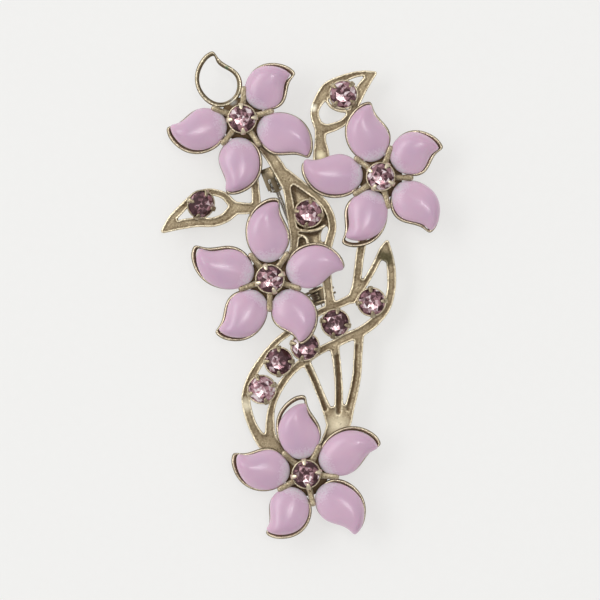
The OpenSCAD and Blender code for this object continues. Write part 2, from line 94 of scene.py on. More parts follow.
def toned_metal(name, base, bright, patina, marks=()):
    """Toned and rubbed plating over cast white metal: satin, with a fine tooth, pin holes and stains.
    marks are patches of colour, which are stains, painted highlights and painted shade, of (place in mm,
    radius in mm, colour, strength)."""
    made = bpy.data.materials.new(name)
    made.use_nodes = True
    tree = made.node_tree
    shader = tree.nodes["Principled BSDF"]
    place = add(tree, "ShaderNodeTexCoord").outputs["Object"]
    wear_and_shade = add(tree, "ShaderNodeAttribute", attribute_name="wear_and_shade").outputs["Fac"]
    stains = add(tree, "ShaderNodeTexNoise",
                 {"Vector": place, "Scale": per_mm(2.2), "Detail": 5}).outputs["Fac"]
    grain = add(tree, "ShaderNodeTexNoise",
                {"Vector": place, "Scale": per_mm(0.28), "Detail": 3}).outputs["Fac"]
    pits = add(tree, "ShaderNodeTexVoronoi", {"Vector": place, "Scale": per_mm(0.6)}).outputs["Distance"]

    # How far the toning is rubbed away: most on edges, least in hollows, and uneven on the flats
    uneven = add(tree, "ShaderNodeMath", {0: stains, 1: grain}, operation="ADD")
    rub = add(tree, "ShaderNodeMath", {0: uneven.outputs[0], 1: 0.45, 2: wear_and_shade}, operation="MULTIPLY_ADD")
    clean = add(tree, "ShaderNodeMapRange", {"Value": rub.outputs[0], "From Min": 0.66, "From Max": 1.08})
    shine = add(tree, "ShaderNodeMapRange", {"Value": rub.outputs[0], "From Min": 1, "From Max": 1.32})
    colour = add(tree, "ShaderNodeMix", {0: clean.outputs[0], 6: srgb(patina), 7: srgb(base)},
                 data_type="RGBA")
    colour = add(tree, "ShaderNodeMix", {0: shine.outputs[0], 6: colour.outputs[2], 7: srgb(bright)},
                 data_type="RGBA")
    pit = add(tree, "ShaderNodeMapRange", {"Value": pits, "From Min": 0.1, "From Max": 0.27,
                                           "To Min": 0.8, "To Max": 0})
    colour = add(tree, "ShaderNodeMix", {0: pit.outputs[0], 6: colour.outputs[2], 7: srgb(patina)},
                 data_type="RGBA")
    # Each mark paints its colour in a ragged patch: a stain, a painted highlight or painted shade
    for spot, radius, patch_colour, strength in marks:
        away = add(tree, "ShaderNodeVectorMath", {0: place, 1: [c * MM for c in spot]}, operation="DISTANCE")
        ragged = add(tree, "ShaderNodeMath", {0: stains, 1: radius * MM, 2: away.outputs["Value"]},
                     operation="MULTIPLY_ADD")
        fade = add(tree, "ShaderNodeMapRange",
                   {"Value": ragged.outputs[0], "From Min": radius * MM * 0.7,
                    "From Max": radius * MM * 1.5, "To Min": strength, "To Max": 0})
        colour = add(tree, "ShaderNodeMix", {0: fade.outputs[0], 6: colour.outputs[2], 7: srgb(patch_colour)},
                     data_type="RGBA")
    tree.links.new(colour.outputs[2], shader.inputs["Base Color"])
    rough = add(tree, "ShaderNodeMapRange", {"Value": rub.outputs[0], "From Min": 0.6, "From Max": 1.4,
                                             "To Min": 0.52, "To Max": 0.3})
    tree.links.new(rough.outputs[0], shader.inputs["Roughness"])
    shader.inputs["Metallic"].default_value = 1.0
    hollow = add(tree, "ShaderNodeMath", {0: pit.outputs[0], 1: -1.5, 2: grain}, operation="MULTIPLY_ADD")
    bump = add(tree, "ShaderNodeBump", {"Height": hollow.outputs[0], "Distance": 0.03 * MM, "Strength": 0.6})
    tree.links.new(bump.outputs[0], shader.inputs["Normal"])
    return made


def near_points(mesh):
    """A function that averages a value of each point over its neighbours, and the length of an edge."""
    count = len(mesh.vertices)
    ends = np.empty(len(mesh.edges) * 2, int)
    mesh.edges.foreach_get("vertices", ends)
    a, b = ends[0::2], ends[1::2]
    neighbours = np.maximum(np.bincount(a, minlength=count) + np.bincount(b, minlength=count), 1)
    at = read_points(mesh, "co")

    def around(value):
        return (np.bincount(a, value[b], count) + np.bincount(b, value[a], count)) / neighbours

    return around, np.linalg.norm(at[a] - at[b], axis=1).mean()


def read_points(mesh, name):
    """The places ("co") or normals ("normal") of a mesh's points, one row each."""
    values = np.empty(len(mesh.vertices) * 3)
    mesh.vertices.foreach_get(name, values)
    return values.reshape(-1, 3)


least_wear = 0.2  # even a hollow was wiped when the toning was rubbed back


def mark_wear(mesh, reach=6, gain=2.5, flat=0.5):
    """Gives each point its wear: 1 where it stands proud, flat on a flat, least_wear in a hollow."""
    around, span = near_points(mesh)
    at = read_points(mesh, "co")
    middle = np.stack([around(at[:, axis]) for axis in range(3)], 1)
    proud = ((at - middle) * read_points(mesh, "normal")).sum(1) / span
    for _ in range(reach):
        proud = (proud + around(proud)) / 2
    worn = mesh.attributes.new("wear_and_shade", "FLOAT", "POINT")
    worn.data.foreach_set("value", np.clip(flat + gain * proud, least_wear, 1).astype(np.float32))


def make_piece(name, parts, finish, smooth=True, wear_and_shade=None):
    """One object of the parts, each a list of points in mm and its faces, with all faces outwards."""
    mesh = bpy.data.meshes.new(name)
    points, faces = [], []
    for part_points, part_faces in parts:
        first = len(points)
        points += [tuple(c * MM for c in p) for p in part_points]
        faces += [tuple(first + i for i in f) for f in part_faces]
    mesh.from_pydata(points, [], faces)
    if wear_and_shade is not None:
        mesh.attributes.new("wear_and_shade", "FLOAT", "POINT").data.foreach_set("value", wear_and_shade)
    return finish_mesh(name, mesh, finish, smooth)


def finish_mesh(name, mesh, finish, smooth=True):
    """Welds a mesh, turns its faces outwards, gives it its finish and puts it in the scene."""
    shape = bmesh.new()
    shape.from_mesh(mesh)
    bmesh.ops.remove_doubles(shape, verts=shape.verts, dist=0.002 * MM)
    bmesh.ops.recalc_face_normals(shape, faces=shape.faces)
    shape.to_mesh(mesh)
    shape.free()
    mesh.materials.clear()
    mesh.materials.append(finish)
    mesh.polygons.foreach_set("use_smooth", [smooth] * len(mesh.polygons))
    piece = bpy.data.objects.new(name, mesh)
    bpy.context.scene.collection.objects.link(piece)
    return piece


def settle(piece):
    """Turns what the piece's modifiers make into its plain mesh."""
    mesh = bpy.data.meshes.new_from_object(piece.evaluated_get(bpy.context.evaluated_depsgraph_get()))
    piece.modifiers.clear()
    piece.data = mesh


def install(piece, body, finish_slot, *nodes):
    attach(piece, body)
    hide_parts(*nodes)


antique = toned_metal("antique_gilt_white_metal", "#a5967a", "#f0e2c4", "#5e4c38")
cast_frame_metal = toned_metal(
    "antique_gilt_white_metal_frame", "#a5967a", "#f0e2c4", "#5e4c38",
    marks=[((14.6, 6.8, 5.8), 2.2, "#3f3d28", 0.8),   # tarnish on the tip of the long leaf
           ((1.9, 33.1, 5.8), 0.9, "#fdf6e0", 0.9),   # these two: a painted highlight on the upper leaf's bend
           ((3.2, 24.8, 5.8), 1.1, "#e6dcb8", 0.7),
           ((-10.0, -19.5, 5.8), 1.6, "#e9dfc4", 0.7),  # a lighter patch on the long leaf's back
           ((-7.6, 26.0, 5.8), 2.6, "#5d4a3c", 0.6),  # painted shade: the stems under the top flower are painted darker brown
           ((6.4, -22.8, 5.8), 2.4, "#eee2c4", 0.6),  # a lighter patch on the fan's foot
           ((0.4, 9.6, 5.0), 0.5, "#3c3026", 0.9)])

top_flower_metal = toned_metal(
    "antique_gilt_white_metal_top_flower", "#a5967a", "#f0e2c4", "#5e4c38",
    marks=[((-13.3, 40.2, 7.2), 0.5, "#5c8a68", 0.8),  # verdigris
           ((-11.6, 36.9, 7.2), 0.45, "#5c8a68", 0.8),
           ((-15.9, 38.0, 7.2), 0.9, "#3b3126", 0.7),
           ((-12.2, 34.2, 6.8), 0.9, "#a9a9a4", 0.85)])  # old glue where a petal is lost

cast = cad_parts["stem_frame"].data.copy()
spray = finish_mesh("cast_frame", cast, cast_frame_metal)
voxel = spray.modifiers.new("cast skin", "REMESH")
voxel.mode = "VOXEL"
voxel.voxel_size = 0.17 * MM
voxel.use_smooth_shade = True
soften = spray.modifiers.new("tumbled edges", "SMOOTH")
soften.factor = 0.5
soften.iterations = 7
settle(spray)

# Hollows chased along the bars of the fan: each a line of places in mm, then its half width and depth
hollows = [
    ([(0.95, -12.7), (2.15, -15.2), (3.2, -17.8), (4.0, -20)], 0.55, 0.2),
    ([(6.2, -10.8), (6.45, -14.5), (6.5, -18), (6.4, -20.6)], 0.6, 0.2),
    ([(9.6, -9), (9.45, -13.5), (8.85, -17), (8.1, -20)], 0.5, 0.1),
]
rail_dish = 0.1  # how far the flats of the rails are dished between their edges


def from_line(at, a, b):
    """How far each point of at is from the line from a to b, seen from above."""
    a, b = np.array(a) * MM, np.array(b) * MM
    along = np.clip((at[:, :2] - a) @ (b - a) / ((b - a) @ (b - a)), 0, 1)
    return np.linalg.norm(at[:, :2] - a - along[:, None] * (b - a), axis=1)


at = read_points(spray.data, "co")
up = np.clip(read_points(spray.data, "normal")[:, 2], 0, 1)
around, _ = near_points(spray.data)
inside = (up > 0.97).astype(float)
for _ in range(8):
    inside = np.minimum(up > 0.97, (inside + around(inside)) / 2)
at[:, 2] -= rail_dish * MM * np.clip(inside * 1.6 - 0.5, 0, 1)
for line, half_w, depth in hollows:
    gap = np.min([from_line(at, a, b) for a, b in zip(line, line[1:])], axis=0)
    at[:, 2] -= up * depth * MM * np.clip(1 - (gap / (half_w * MM)) ** 2, 0, 1) ** 1.5
spray.data.vertices.foreach_set("co", at.ravel())
spray.data.update()
spray.data.materials.clear()
spray.data.materials.append(cast_frame_metal)
mark_wear(spray.data, reach=2, gain=4.0, flat=0.48)
install(spray, "brooch", "antique_metal", "stem_frame")


# ---------------------------------------------------------------- Flower rims
# Each flower's five petal rims and the hub that joins them are one casting. A rim has a raised
# lip outside and a low ledge inside, which its petal was set down on.

flower_count = 4
petals_a_flower = 5
# Each flower's first petal angle, then each petal's extra turn and extra length, as in the design
flower_turn = [52, 34.5, 18.7, 29]
petal_set = [
    [(-1, -1), (-1, -0.3), (0, 0), (-0.5, 0), (-1, 0.2)],
    [(1, -1.2), (0.5, 0), (0, 0.6), (-1.5, 0.1), (-1.5, -0.2)],
    [(-0.5, -0.1), (2, 0.9), (2, 1.2), (-1, 0.1), (-1.5, -0.6)],
    [(1.5, 0.8), (-1, 0.5), (0.5, 0), (1, -0.7), (2, 0.2)],
]
petal_l = 10.1
petal_w = 7.4
petal_start = 3.3
petal_lean = 2.2
bluntness = 0.85      # below 1 makes both ends blunter
inner_fullness = 1.1
tip_thinning = 0.32
hollow_swell = 0.16
hollow_depth = 0.5    # how far the clockwise side swells and then hollows before the tip


def outline(around, length, inset, pinch=0, root=0):
    """Points of a petal's outline at some angles round it, set in by inset, in the flower's plane."""
    s = (1 - np.cos(around)) / 2
    hollow = np.sin(around) < 0
    fullness = inner_fullness + (hollow_swell * hollow - tip_thinning) * s
    half_w = (petal_w / 2 - inset) * np.abs(np.sin(around)) ** bluntness * fullness
    half_w *= 1 - pinch * (1 - s) ** 4
    lean = s - petal_lean * s ** 5 - hollow * hollow_depth * np.sin(math.tau * s ** 1.3)
    x = petal_start + inset + (length - 2 * inset) * s - root * (1 - s) ** 3
    return x, lean + np.sign(np.sin(around)) * half_w


def petal_angle(f, k):
    return math.radians(flower_turn[f] + k * 360 / petals_a_flower + petal_set[f][k][0])


def flower_place(f, x, y, z):
    """Points of the flower's own plane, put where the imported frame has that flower."""
    low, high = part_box(f"flower_{f + 1}_rivet")
    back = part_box(f"flower_{f + 1}_rims")[0].z
    middle = (low + high) / 2
    return np.stack([x + middle.x / MM, y + middle.y / MM, z + back / MM], -1).reshape(-1, 3).tolist()


def turned(angle, x, y):
    return x * math.cos(angle) - y * math.sin(angle), x * math.sin(angle) + y * math.cos(angle)


def ring_faces(rings, around, closed=False):
    """Quads between rings of points. Each ring closes on itself, and closed joins the last to the first."""
    return [
        (r * around + i, r * around + (i + 1) % around,
         (r + 1) % rings * around + (i + 1) % around, (r + 1) % rings * around + i)
        for r in range(rings if closed else rings - 1) for i in range(around)
    ]


def lathe(profile, around=64, closed=True):
    """Turns a profile of (radius, height) about the Z axis."""
    angles = np.arange(around) * math.tau / around
    r = np.array([p[0] for p in profile])[:, None]
    z = np.array([p[1] for p in profile])[:, None] + 0 * angles
    return r * np.cos(angles), r * np.sin(angles), z, ring_faces(len(profile), around, closed)


# A rim across its wire: how far in from its outside, how high, and how worn
rim_profile = [(0.12, 0, 0.35), (0.02, 0.15, 0.3), (0, 0.42, 0.35), (0.05, 0.64, 0.45), (0.15, 0.8, 0.65),
               (0.28, 0.88, 0.85), (0.4, 0.83, 0.75), (0.5, 0.68, 0.55), (0.57, 0.5, 0.4), (0.64, 0.42, 0.3),
               (0.76, 0.4, 0.45), (0.84, 0.3, 0.4), (0.84, 0.1, 0.35), (0.76, 0, 0.35)]
hub_profile = [(0.64, 0), (3.75, 0), (3.88, 0.1), (3.88, 0.3), (3.75, 0.4), (0.64, 0.4)]
rim_points = 80

for f in range(flower_count):
    parts, wear_and_shade = [], []
    around = np.arange(rim_points) * math.tau / rim_points
    for k in range(petals_a_flower):
        rings = [outline(around, petal_l + petal_set[f][k][1], inset) for inset, _, _ in rim_profile]
        x, y = turned(petal_angle(f, k), np.array([r[0] for r in rings]), np.array([r[1] for r in rings]))
        # The lip is cut low at the inner end, where the petal runs in over it
        low = 1 - 0.5 * np.exp(-((1 - np.cos(around)) / 0.1) ** 2)
        z = np.array([h for _, h, _ in rim_profile])[:, None] * low
        parts.append((flower_place(f, x, y, z), ring_faces(len(rim_profile), rim_points, closed=True)))
        wear_and_shade += [worn for _, _, worn in rim_profile for _ in around]
    x, y, z, faces = lathe(hub_profile)
    parts.append((flower_place(f, x, y, z), faces))
    # The hub gets no wear, so it is dark patina all over: its patina, and painted shade for the recess round
    # the star's cup
    wear_and_shade += [0] * x.size
    rims = make_piece(f"flower_{f + 1}_petal_rims", parts, antique if f else top_flower_metal, wear_and_shade=wear_and_shade)
    install(rims, "brooch", "antique_metal", f"flower_{f + 1}_rims")


# ---------------------------------------------------------------- Petals
# Moulded thermoset petals, lilac pink and a little translucent, polished on the outside and
# rubbed dull at their inner ends. Each is held down by two arms of its flower's claw, and
# each has slipped a little in its rim over the years.

def moulded_petal():
    """Polished thermoset: light goes a little way in, and the glow of its thin edges is also painted in as a
    lighter pink; its dull end is greyer.
    """
    made = bpy.data.materials.new("lilac_thermoset_petal")
    made.use_nodes = True
    tree = made.node_tree
    shader = tree.nodes["Principled BSDF"]
    place = add(tree, "ShaderNodeTexCoord").outputs["Object"]
    dull = add(tree, "ShaderNodeAttribute", attribute_name="dull").outputs["Fac"]
    cloud = add(tree, "ShaderNodeTexNoise",
                {"Vector": place, "Scale": per_mm(5), "Detail": 2}).outputs["Fac"]
    dust = add(tree, "ShaderNodeTexNoise",
               {"Vector": place, "Scale": per_mm(0.3), "Detail": 4}).outputs["Fac"]
    body = add(tree, "ShaderNodeMix", {0: cloud, 6: srgb("#c3a4be"), 7: srgb("#deb8c9")}, data_type="RGBA")
    # Painted glow: towards its outline a petal is painted a lighter pink, as light shining through its thin
    # edges
    edge_glow = add(tree, "ShaderNodeAttribute", attribute_name="edge_glow").outputs["Fac"]
    body = add(tree, "ShaderNodeMix", {0: edge_glow, 6: body.outputs[2], 7: srgb("#e9c9da")}, data_type="RGBA")
    rubbed = add(tree, "ShaderNodeMath", {0: dust, 1: dull}, operation="MULTIPLY")
    rubbed = add(tree, "ShaderNodeMapRange",
                 {"Value": rubbed.outputs[0], "From Min": 0.22, "From Max": 0.55})
    colour = add(tree, "ShaderNodeMix", {0: rubbed.outputs[0], 6: body.outputs[2], 7: srgb("#ddd2da")},
                 data_type="RGBA")
    tree.links.new(colour.outputs[2], shader.inputs["Base Color"])
    rough = add(tree, "ShaderNodeMapRange", {"Value": rubbed.outputs[0], "To Min": 0.24, "To Max": 0.6})
    tree.links.new(rough.outputs[0], shader.inputs["Roughness"])
    shader.inputs["IOR"].default_value = 1.54
    shader.inputs["Subsurface Weight"].default_value = 0.35
    shader.inputs["Subsurface Radius"].default_value = (1.0, 0.55, 0.8)
    shader.inputs["Subsurface Scale"].default_value = 1.2 * MM
    bump = add(tree, "ShaderNodeBump", {"Height": rubbed.outputs[0], "Distance": 0.02 * MM, "Strength": 0.4})
    tree.links.new(bump.outputs[0], shader.inputs["Normal"])
    return made


lilac = moulded_petal()
# How each petal has slipped: outwards, towards its next neighbour, turned (degrees), and shortened
petal_slip = [
    [(-0.15, 0.3, 3, 0.5), None, (-0.2, -0.3, 0, 0.3), (0.25, -0.25, 0, 0.5), (-0.1, 0.15, 0, 0.1)],
    [(-0.1, 0.2, 0, 0.4), (-0.1, 0, 0, 0.2), (0.1, -0.35, -3, 0.1), (-0.4, 0.1, 0, 0.6), (0.1, 0.3, 1, 0)],
    [(0, -0.3, 0, 0), (-0.1, 0, 0, 0.4), (-0.1, 0.2, 0, 0.6), (-0.05, 0.1, 0, 0.5), (-0.1, 0, 0, 0.2)],
    [(-0.2, -0.3, 0, 0.3), (-0.3, 0, 0, 0.9), (-0.1, 0, 0, 0.5), (-0.1, -0.3, 0, 0.3), (0.3, -0.35, 0, 0)],
]
petal_seat = 0.45
petal_h = 2.15
petal_show = 0.27    # how far in from its rim's outside a petal reaches
petal_foot = 0.52    # the same, where it stands on its ledge
petal_pinch = 0.1
petal_root = 0.55    # how far its inner end runs in over its rim
petal_crest = 0.69   # where its back is highest, as a share of its length
petal_shoulder = 0.55 # height at which a petal is widest
petal_points = 96
crown_rings = 14


def petal_shape(length):
    """A petal's points and faces about the flower's X axis, and each point's dullness and painted edge glow.
    """
    around = np.arange(petal_points) * math.tau / petal_points
    s = (1 - np.cos(around)) / 2
    inner, outer = 0.2, 0.88
    spine_s = inner + (outer - inner) * s
    spine = (petal_start + petal_show + (length - 2 * petal_show) * spine_s
             - petal_root * (1 - spine_s) ** 3,
             spine_s - petal_lean * spine_s ** 5)
    foot, waist, shoulder = [outline(around, length, inset, petal_pinch, petal_root)
                             for inset in (petal_foot, (petal_foot + petal_show) / 2, petal_show)]
    rows = [(foot, 1.0, 0.0), (waist, 1.0, petal_shoulder * 0.4)]
    for i in range(crown_rings):
        turn = i / (crown_rings - 1) * math.pi / 2
        rows.append((shoulder, math.cos(turn), math.sin(turn)))
    x, y, z, edge_glow = [], [], [], [0 * s]
    for i, (edge, out, up) in enumerate(rows):
        # painted edge glow, strongest at the outline
        edge_glow.append(0.7 * out ** 3 + 0 * s)
        x.append(spine[0] + (edge[0] - spine[0]) * out)
        y.append(spine[1] + (edge[1] - spine[1]) * out)
        # The back of the petal rises from its inner end to a crest in its outer third, and falls to its tip
        reach = (x[-1] - petal_start) / length - petal_crest
        ridge = 1 - 0.95 * np.where(reach < 0, reach / 1.15, reach * 2) ** 2
        z.append(up + 0 * s if i < 2 else petal_shoulder + (petal_h * ridge - petal_shoulder) * up)
    # The underside closes along the same spine
    x.insert(0, spine[0])
    y.insert(0, spine[1])
    z.insert(0, 0 * s)
    x, y, z = np.array(x), np.array(y), np.array(z)
    faces = ring_faces(len(x), petal_points)
    dull = np.clip(1.15 - (x - petal_start + petal_root) / (0.34 * length), 0, 1)
    return x, y, z, faces, {"dull": dull, "edge_glow": np.array(edge_glow)}


for f in range(flower_count):
    for k in range(petals_a_flower):
        if petal_slip[f][k] is None:
            continue
        out, aside, turn, short = petal_slip[f][k]
        x, y, z, faces, marks = petal_shape(petal_l + petal_set[f][k][1] - short)
        pivot = petal_start + petal_l / 2
        x, y = turned(math.radians(turn), x - pivot, y)
        x, y = turned(petal_angle(f, k), x + pivot + out, y + aside)
        name = f"flower_{f + 1}_petal_{k + 1}"
        points = flower_place(f, x, y, z + petal_seat)
        mesh = bpy.data.meshes.new(name)
        mesh.from_pydata([tuple(c * MM for c in p) for p in points], [], faces)
        for mark, value in marks.items():
            marked = mesh.attributes.new(mark, "FLOAT", "POINT")
            marked.data.foreach_set("value", value.ravel().astype(np.float32))
        petal = finish_mesh(f"{name}_moulding", mesh, lilac)
        install(petal, "brooch", "petal_resin", name)


# ---------------------------------------------------------------- Leaf settings
# Cast claw settings for the round stones on the leaves: a flared cup with four claws, which
# were bent over the edge of the stone after it was dropped in.

stone_r = 2.35
cup_foot_r = 1.88
cup_lip_r = 2.62
cup_wall = 0.33
girdle_h = 0.25
crown_h = 0.7
table_r = 1.36
claws_a_cup = 4
# A claw seen from the side: radius, height above the cup's lip, half width, half thickness
claw_path = [(2.32, -0.9, 0.35, 0.14), (2.42, -0.6, 0.46, 0.19), (2.55, -0.2, 0.47, 0.2),
             (2.63, 0.12, 0.46, 0.21), (2.6, 0.37, 0.44, 0.21), (2.42, 0.53, 0.41, 0.19),
             (2.12, 0.64, 0.36, 0.17), (1.85, 0.76, 0.29, 0.15), (1.64, 0.86, 0.15, 0.09)]


def bent_bar(path, sides=12):
    """A flattened round bar along a path of (out, up, half width, half thickness) in the XZ plane."""
    points = []
    for i, (r, h, half_w, half_t) in enumerate(path):
        before, after = path[max(i - 1, 0)], path[min(i + 1, len(path) - 1)]
        lean = math.atan2(after[1] - before[1], after[0] - before[0])
        for j in range(sides):
            turn = math.tau * j / sides
            across = half_w * math.copysign(abs(math.cos(turn)) ** 0.7, math.cos(turn))
            over = half_t * math.copysign(abs(math.sin(turn)) ** 0.7, math.sin(turn))
            points.append((r - over * math.sin(lean), across, h + over * math.cos(lean)))
    faces = ring_faces(len(path), sides)
    faces.append(tuple(range(sides)))
    faces.append(tuple(range((len(path) - 1) * sides, len(path) * sides)))
    return points, faces


def socket(tree, name, kind, default=None):
    made = tree.interface.new_socket(name, in_out="INPUT", socket_type=kind)
    if default is not None:
        made.default_value = default
    return made.identifier


def ring_of_claws():
    """Geometry nodes: copies of one claw stand on marks, each turned by its mark."""
    tree = bpy.data.node_groups.new("ring of claws", "GeometryNodeTree")
    names = {"marks": socket(tree, "Marks", "NodeSocketGeometry"),
             "claw": socket(tree, "Claw", "NodeSocketObject"),
             "width": socket(tree, "Width", "NodeSocketFloat", 1.0),
             "metal": socket(tree, "Metal", "NodeSocketMaterial")}
    tree.interface.new_socket("Claws", in_out="OUTPUT", socket_type="NodeSocketGeometry")
    given = add(tree, "NodeGroupInput")
    claw = add(tree, "GeometryNodeObjectInfo", {"Object": given.outputs["Claw"]})
    turn = add(tree, "GeometryNodeInputNamedAttribute", {"Name": "turn"}, data_type="FLOAT")
    turn = add(tree, "ShaderNodeCombineXYZ", {"Z": turn.outputs["Attribute"]})
    size = add(tree, "ShaderNodeCombineXYZ", {"X": 1.0, "Y": given.outputs["Width"], "Z": 1.0})
    stand = add(tree, "GeometryNodeInstanceOnPoints", {
        "Points": given.outputs["Marks"], "Instance": claw.outputs["Geometry"],
        "Rotation": turn.outputs[0], "Scale": size.outputs[0]})
    solid = add(tree, "GeometryNodeRealizeInstances", {"Geometry": stand.outputs[0]})
    metal = add(tree, "GeometryNodeSetMaterial", {
        "Geometry": solid.outputs[0], "Material": given.outputs["Metal"]})
    add(tree, "NodeGroupOutput", {"Claws": metal.outputs[0]})
    return tree, names


claw_ring, claw_ring_inputs = ring_of_claws()


def stand_claws(claw, turns, width=1.0):
    """The points, in mm, and the faces of a ring of claws, one at each of the turns."""
    marks = bpy.data.meshes.new("claw marks")
    marks.from_pydata([(0, 0, 0)] * len(turns), [], [])
    marks.attributes.new("turn", "FLOAT", "POINT").data.foreach_set("value", turns)
    piece = bpy.data.objects.new("claw marks", marks)
    bpy.context.scene.collection.objects.link(piece)
    ring = piece.modifiers.new("claws", "NODES")
    ring.node_group = claw_ring
    ring[claw_ring_inputs["claw"]] = claw
    ring[claw_ring_inputs["width"]] = width
    ring[claw_ring_inputs["metal"]] = antique
    settle(piece)
    made = [tuple(v.co / MM) for v in piece.data.vertices], [tuple(p.vertices) for p in piece.data.polygons]
    bpy.data.objects.remove(piece)
    return made


def cup_profile(lip_h, floor_h, hole_r=0.02):
    """A flared cup across one side, round its wall: out, up and back down inside."""
    return [(hole_r, 0), (cup_foot_r - 0.12, 0), (cup_foot_r, 0.08), (cup_lip_r - 0.02, lip_h - 0.2),
            (cup_lip_r, lip_h - 0.04), (cup_lip_r - 0.1, lip_h + 0.05),
            (cup_lip_r - cup_wall, lip_h - 0.04), (cup_foot_r - cup_wall + 0.12, floor_h + 0.05),
            (cup_foot_r - cup_wall, floor_h), (hole_r, floor_h)]


small_claw = make_piece("setting claw", [bent_bar(claw_path)], antique)
# Each leaf setting: the turn of its first claw, its tilt in degrees and the way that it leans
leaf_settings = {"leaf_a": (50, 0, 0), "leaf_b": (70, 24, 150), "leaf_c": (80, 0, 0)}
leaf_settings.update({f"s_leaf_{i + 1}": (turn, 0, 0) for i, turn in enumerate([20, 0, 75, 80, 5])})
cup_h = 1.4


def leaf_nodes(seat):
    """The names of a leaf setting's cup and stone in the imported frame."""
    if seat.startswith("s_leaf"):
        number = seat[-1]
        return f"s_leaf_cup_{number}", f"s_leaf_stone_{number}"
    return f"{seat}_cup", f"{seat}_stone"


def seat_matrix(seat):
    """Where a leaf setting stands, in mm: its foot, from its stone's middle, and its lean."""
    turn, tilt, way = leaf_settings[seat]
    low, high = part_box(leaf_nodes(seat)[1])
    middle = (low + high) / 2 / MM
    across = (-math.sin(math.radians(way)), math.cos(math.radians(way)), 0)
    lean = Matrix.Rotation(math.radians(-tilt), 4, across)
    stone_up = (crown_h + girdle_h - 1) / 2  # the middle of a stone, above the cup's lip
    return Matrix.Translation(middle) @ lean @ Matrix.Translation((0, 0, -cup_h - stone_up))


def move(matrix, points):
    return [tuple(matrix @ Vector(p)) for p in points]


for seat, (turn, tilt, way) in leaf_settings.items():
    x, y, z, faces = lathe(cup_profile(cup_h, 0.3))
    wall = np.stack([x, y, z], -1).reshape(-1, 3).tolist()
    turns = [math.radians(turn) + i * math.tau / claws_a_cup for i in range(claws_a_cup)]
    claws, claw_faces = stand_claws(small_claw, turns)
    claws = [(p[0], p[1], p[2] + cup_h) for p in claws]
    stand = seat_matrix(seat)
    parts = [(move(stand, wall), faces), (move(stand, claws), claw_faces)]
    cup = make_piece(f"{seat}_setting", parts, antique)
    mark_wear(cup.data, reach=1, gain=1.2)
    install(cup, "brooch", "antique_metal", leaf_nodes(seat)[0])


# ---------------------------------------------------------------- Flower claws
# The star on each flower: five arms that press the petals down between them, cast in one
# with the setting of the centre stone. It is riveted through the rims to the frame.

star_foot = 0.4       # the star stands on the hub, at this height above the flower's back
star_lip_h = 1.7
first_claw = [95, 60, 110, 100]
arm_path = [(1.6, 0.55, 0.7, 0.3), (2.6, 0.7, 0.62, 0.36), (3.3, 0.78, 0.55, 0.38),
            (4.0, 0.8, 0.52, 0.38), (4.7, 0.82, 0.53, 0.4), (5.2, 0.84, 0.55, 0.42),
            (5.55, 0.84, 0.46, 0.38), (5.8, 0.76, 0.24, 0.22)]
star_plate = [(0.64, 0), (2.35, 0), (2.45, 0.1), (2.45, 0.5), (2.3, 0.7), (2.1, 0.8), (0.64, 0.8)]
star_arm = make_piece("star arm", [bent_bar(arm_path, 16)], antique)

for f in range(flower_count):
    arm_turns = [
        (petal_angle(f, k) + petal_angle(f, (k + 1) % petals_a_flower)
         + (math.tau if k == petals_a_flower - 1 else 0)) / 2
        for k in range(petals_a_flower)
    ]
    arms, arm_faces = stand_claws(star_arm, arm_turns)
    x, y, z, plate_faces = lathe(star_plate)
    plate = np.stack([x, y, z], -1).reshape(-1, 3).tolist()
    x, y, z, wall_faces = lathe(cup_profile(star_lip_h, 0.9, 0.64))
    wall = np.stack([x, y, z], -1).reshape(-1, 3).tolist()
    whole = np.array(arms + plate + wall)
    first, second = len(arms), len(arms) + len(plate)
    faces = arm_faces + [tuple(first + i for i in q) for q in plate_faces]
    faces += [tuple(second + i for i in q) for q in wall_faces]
    points = flower_place(f, whole[:, 0], whole[:, 1], whole[:, 2] + star_foot)
    star = make_piece(f"flower_{f + 1}_star_claw", [(points, faces)], antique)
    skin = star.modifiers.new("cast skin", "REMESH")
    skin.mode = "VOXEL"
    skin.voxel_size = 0.11 * MM
    soften = star.modifiers.new("tumbled edges", "SMOOTH")
    soften.factor = 0.5
    soften.iterations = 3
    settle(star)
    turns = [math.radians(first_claw[f]) + i * math.tau / claws_a_cup for i in range(claws_a_cup)]
    claws, claw_faces = stand_claws(small_claw, turns)
    claws = np.array(claws)
    claws = flower_place(f, claws[:, 0], claws[:, 1], claws[:, 2] + star_foot + star_lip_h)
    body = ([tuple(v.co / MM) for v in star.data.vertices], [tuple(p.vertices) for p in star.data.polygons])
    bpy.data.objects.remove(star)
    star = make_piece(f"flower_{f + 1}_star_claw", [body, (claws, claw_faces)], antique)
    mark_wear(star.data, reach=2, gain=2.0)
    install(star, "brooch", "antique_metal", f"flower_{f + 1}_claw")

for pattern in (small_claw, star_arm):
    bpy.data.objects.remove(pattern)


# ---------------------------------------------------------------- Rivets
# Tubular brass rivets that were spread at both ends to hold each flower to its boss.

